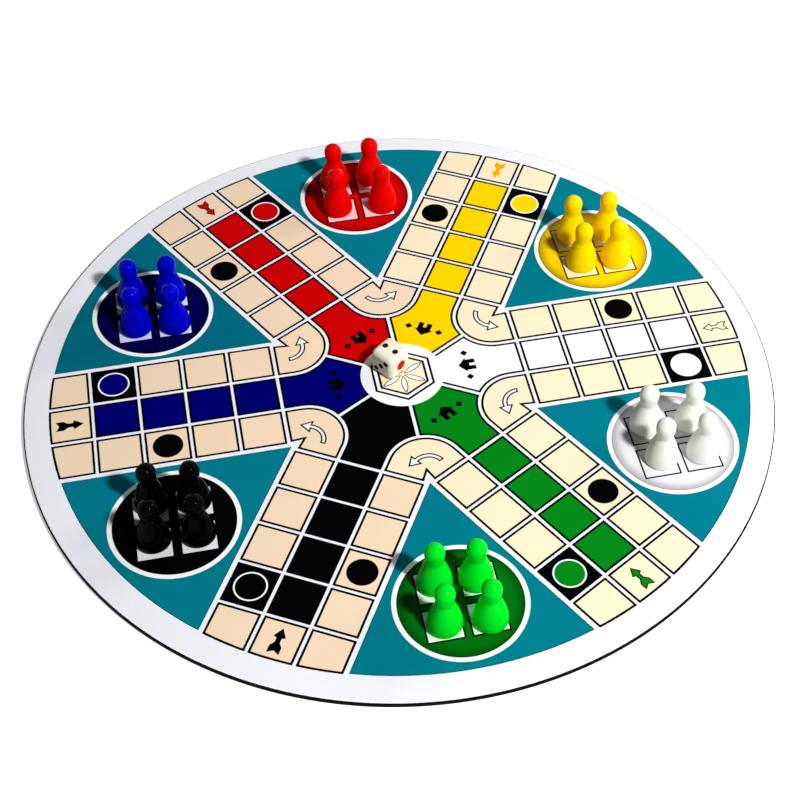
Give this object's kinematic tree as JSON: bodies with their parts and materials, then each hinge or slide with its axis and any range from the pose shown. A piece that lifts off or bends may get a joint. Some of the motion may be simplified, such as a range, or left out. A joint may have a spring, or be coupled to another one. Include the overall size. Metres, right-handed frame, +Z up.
{
  "type": "ludo mat with pawns and die",
  "caption": "Round flexible play mat with a printed star track, with coloured pawns standing in their yards and a die.",
  "frame": {"origin": "centre of the mat's round underside, where it lies on the table", "axes": "+Z up out of the printed face, +X along the white player's arm of the star, +Y through the red player's yard"},
  "size_m": [0.3, 0.3, 0.0249],
  "materials": {
    "black_rubber": "matt foam rubber",
    "printed_cloth": "fine printed cloth, matt",
    "red_plastic": "glossy moulded plastic",
    "yellow_plastic": "glossy moulded plastic",
    "white_plastic": "glossy moulded plastic",
    "green_plastic": "glossy moulded plastic",
    "black_plastic": "glossy moulded plastic",
    "blue_plastic": "glossy moulded plastic",
    "ivory_plastic": "glossy moulded plastic"
  },
  "bodies": {
    "mat": {"rubber_backing": "black_rubber", "printed_face": "printed_cloth"},
    "red_pawn_1": {"red_pawn_1": "red_plastic"},
    "red_pawn_2": {"red_pawn_2": "red_plastic"},
    "red_pawn_3": {"red_pawn_3": "red_plastic"},
    "red_pawn_4": {"red_pawn_4": "red_plastic"},
    "yellow_pawn_1": {"yellow_pawn_1": "yellow_plastic"},
    "yellow_pawn_2": {"yellow_pawn_2": "yellow_plastic"},
    "yellow_pawn_3": {"yellow_pawn_3": "yellow_plastic"},
    "yellow_pawn_4": {"yellow_pawn_4": "yellow_plastic"},
    "white_pawn_1": {"white_pawn_1": "white_plastic"},
    "white_pawn_2": {"white_pawn_2": "white_plastic"},
    "white_pawn_3": {"white_pawn_3": "white_plastic"},
    "white_pawn_4": {"white_pawn_4": "white_plastic"},
    "green_pawn_1": {"green_pawn_1": "green_plastic"},
    "green_pawn_2": {"green_pawn_2": "green_plastic"},
    "green_pawn_3": {"green_pawn_3": "green_plastic"},
    "green_pawn_4": {"green_pawn_4": "green_plastic"},
    "black_pawn_1": {"black_pawn_1": "black_plastic"},
    "black_pawn_2": {"black_pawn_2": "black_plastic"},
    "black_pawn_3": {"black_pawn_3": "black_plastic"},
    "black_pawn_4": {"black_pawn_4": "black_plastic"},
    "blue_pawn_1": {"blue_pawn_1": "blue_plastic"},
    "blue_pawn_2": {"blue_pawn_2": "blue_plastic"},
    "blue_pawn_3": {"blue_pawn_3": "blue_plastic"},
    "blue_pawn_4": {"blue_pawn_4": "blue_plastic"},
    "die": {"die": "ivory_plastic"}
  },
  "joints": [
    {"name": "red_pawn_1_lift", "type": "slide", "parent": "mat", "child": "red_pawn_1", "axis": [0, 0, 1], "range_m": [0, 0.04]},
    {"name": "red_pawn_2_lift", "type": "slide", "parent": "mat", "child": "red_pawn_2", "axis": [0, 0, 1], "range_m": [0, 0.04]},
    {"name": "red_pawn_3_lift", "type": "slide", "parent": "mat", "child": "red_pawn_3", "axis": [0, 0, 1], "range_m": [0, 0.04]},
    {"name": "red_pawn_4_lift", "type": "slide", "parent": "mat", "child": "red_pawn_4", "axis": [0, 0, 1], "range_m": [0, 0.04]},
    {"name": "yellow_pawn_1_lift", "type": "slide", "parent": "mat", "child": "yellow_pawn_1", "axis": [0, 0, 1], "range_m": [0, 0.04]},
    {"name": "yellow_pawn_2_lift", "type": "slide", "parent": "mat", "child": "yellow_pawn_2", "axis": [0, 0, 1], "range_m": [0, 0.04]},
    {"name": "yellow_pawn_3_lift", "type": "slide", "parent": "mat", "child": "yellow_pawn_3", "axis": [0, 0, 1], "range_m": [0, 0.04]},
    {"name": "yellow_pawn_4_lift", "type": "slide", "parent": "mat", "child": "yellow_pawn_4", "axis": [0, 0, 1], "range_m": [0, 0.04]},
    {"name": "white_pawn_1_lift", "type": "slide", "parent": "mat", "child": "white_pawn_1", "axis": [0, 0, 1], "range_m": [0, 0.04]},
    {"name": "white_pawn_2_lift", "type": "slide", "parent": "mat", "child": "white_pawn_2", "axis": [0, 0, 1], "range_m": [0, 0.04]},
    {"name": "white_pawn_3_lift", "type": "slide", "parent": "mat", "child": "white_pawn_3", "axis": [0, 0, 1], "range_m": [0, 0.04]},
    {"name": "white_pawn_4_lift", "type": "slide", "parent": "mat", "child": "white_pawn_4", "axis": [0, 0, 1], "range_m": [0, 0.04]},
    {"name": "green_pawn_1_lift", "type": "slide", "parent": "mat", "child": "green_pawn_1", "axis": [0, 0, 1], "range_m": [0, 0.04]},
    {"name": "green_pawn_2_lift", "type": "slide", "parent": "mat", "child": "green_pawn_2", "axis": [0, 0, 1], "range_m": [0, 0.04]},
    {"name": "green_pawn_3_lift", "type": "slide", "parent": "mat", "child": "green_pawn_3", "axis": [0, 0, 1], "range_m": [0, 0.04]},
    {"name": "green_pawn_4_lift", "type": "slide", "parent": "mat", "child": "green_pawn_4", "axis": [0, 0, 1], "range_m": [0, 0.04]},
    {"name": "black_pawn_1_lift", "type": "slide", "parent": "mat", "child": "black_pawn_1", "axis": [0, 0, 1], "range_m": [0, 0.04]},
    {"name": "black_pawn_2_lift", "type": "slide", "parent": "mat", "child": "black_pawn_2", "axis": [0, 0, 1], "range_m": [0, 0.04]},
    {"name": "black_pawn_3_lift", "type": "slide", "parent": "mat", "child": "black_pawn_3", "axis": [0, 0, 1], "range_m": [0, 0.04]},
    {"name": "black_pawn_4_lift", "type": "slide", "parent": "mat", "child": "black_pawn_4", "axis": [0, 0, 1], "range_m": [0, 0.04]},
    {"name": "blue_pawn_1_lift", "type": "slide", "parent": "mat", "child": "blue_pawn_1", "axis": [0, 0, 1], "range_m": [0, 0.04]},
    {"name": "blue_pawn_2_lift", "type": "slide", "parent": "mat", "child": "blue_pawn_2", "axis": [0, 0, 1], "range_m": [0, 0.04]},
    {"name": "blue_pawn_3_lift", "type": "slide", "parent": "mat", "child": "blue_pawn_3", "axis": [0, 0, 1], "range_m": [0, 0.04]},
    {"name": "blue_pawn_4_lift", "type": "slide", "parent": "mat", "child": "blue_pawn_4", "axis": [0, 0, 1], "range_m": [0, 0.04]},
    {"name": "die_lift", "type": "slide", "parent": "mat", "child": "die", "axis": [0, 0, 1], "range_m": [0, 0.04]}
  ]
}
